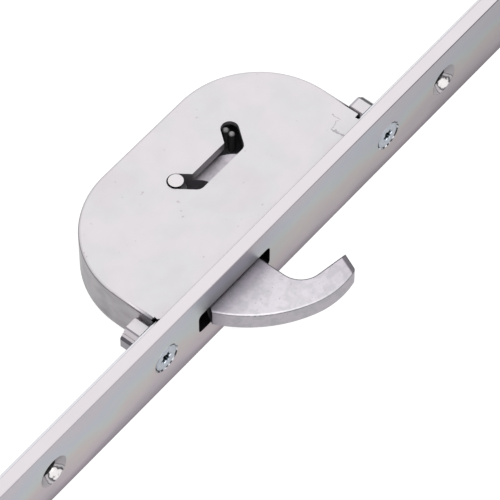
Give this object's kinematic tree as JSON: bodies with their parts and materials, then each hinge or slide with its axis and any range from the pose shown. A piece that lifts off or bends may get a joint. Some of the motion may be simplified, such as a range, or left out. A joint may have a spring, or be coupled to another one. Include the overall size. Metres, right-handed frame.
{
  "type": "multipoint door lock",
  "caption": "Hook bolt section of a multipoint door lock: faceplate strip, sliding drive rail, die-cast case with a cam track, and a hook that swings out through the faceplate.",
  "frame": {"origin": "middle of the faceplate's front face, midway between the two case screws", "axes": "+X along the faceplate, up the door edge; +Y into the door; +Z across the faceplate, out of the case side with the cam track"},
  "size_m": [0.232, 0.0576, 0.02],
  "materials": {
    "zinc_plated_steel": "satin zinc plating",
    "die_cast_zinc": "fine matt as cast",
    "cast_steel_hook": "blasted and plated",
    "bright_steel": "bright",
    "bronze_bush": "turned"
  },
  "bodies": {
    "casing": {"faceplate": "zinc_plated_steel", "case_body": "die_cast_zinc", "case_cover": "zinc_plated_steel", "case_screw_low": "zinc_plated_steel", "case_screw_high": "zinc_plated_steel", "cover_rivet_1": "bright_steel", "cover_rivet_2": "bright_steel", "cover_rivet_3": "bright_steel", "cover_rivet_4": "bright_steel", "hook_pivot": "bright_steel", "pivot_washer_upper": "bright_steel", "pivot_washer_lower": "bright_steel", "stop_pin_1": "bright_steel", "stop_pin_2": "bright_steel"},
    "drive": {"drive_rail": "zinc_plated_steel", "drive_slider": "zinc_plated_steel", "rail_rivet_1": "bright_steel", "rail_rivet_2": "bright_steel"},
    "hook": {"hook_bolt": "cast_steel_hook", "hook_bush": "bronze_bush"},
    "pin": {"guide_pin": "bright_steel", "guide_pin_clip": "bright_steel"}
  },
  "joints": [
    {"name": "rail_slide", "type": "slide", "parent": "casing", "child": "drive", "axis": [1, 0, 0], "range_m": [0, 0.01865]},
    {"name": "hook_swing", "type": "hinge", "parent": "casing", "child": "hook", "pos_m": [0.00475, 0.013, 0], "axis": [0, 0, 1], "range_deg": [-72.36, 0]},
    {"name": "pin_travel", "type": "hinge", "parent": "casing", "child": "pin", "pos_m": [0.00475, 0.03386, 0], "axis": [0, 0, 1], "range_deg": [0, 98.01]}
  ],
  "couplings": [
    {"joint": "hook_swing", "follows": "rail_slide", "rad_per_m": -67.716},
    {"joint": "pin_travel", "follows": "rail_slide", "rad_per_m": 91.717}
  ]
}
